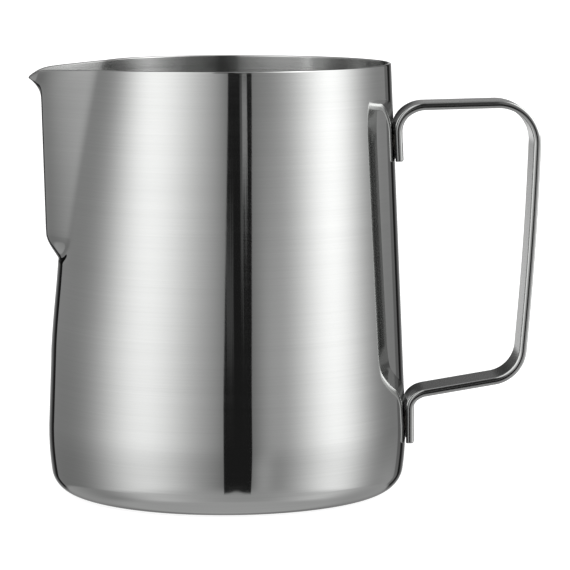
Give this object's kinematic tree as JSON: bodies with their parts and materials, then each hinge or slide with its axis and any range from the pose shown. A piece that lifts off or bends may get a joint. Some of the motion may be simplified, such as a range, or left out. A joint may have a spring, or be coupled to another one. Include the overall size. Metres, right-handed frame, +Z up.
{
  "type": "milk frothing pitcher",
  "caption": "Open steel milk frothing pitcher: tapered one-piece jug with a pressed pouring spout and a bent flat-strip side handle.",
  "frame": {"origin": "centre of the flat underside, on the axis of the turned wall", "axes": "+Z up through the mouth, +X towards the handle, -X towards the spout, +Y across, normal to the plane of symmetry"},
  "size_m": [0.1277, 0.09, 0.1074],
  "materials": {
    "jug_steel": "fine circumferential satin over a bright polish",
    "handle_steel": "polished strip with rounded, bright edges",
    "weld_metal": "dull resistance weld metal"
  },
  "bodies": {
    "root": {"vessel": "jug_steel", "handle": "handle_steel", "weld_nugget_upper_left": "weld_metal", "weld_nugget_upper_right": "weld_metal", "weld_nugget_lower_left": "weld_metal", "weld_nugget_lower_right": "weld_metal"}
  },
  "joints": []
}
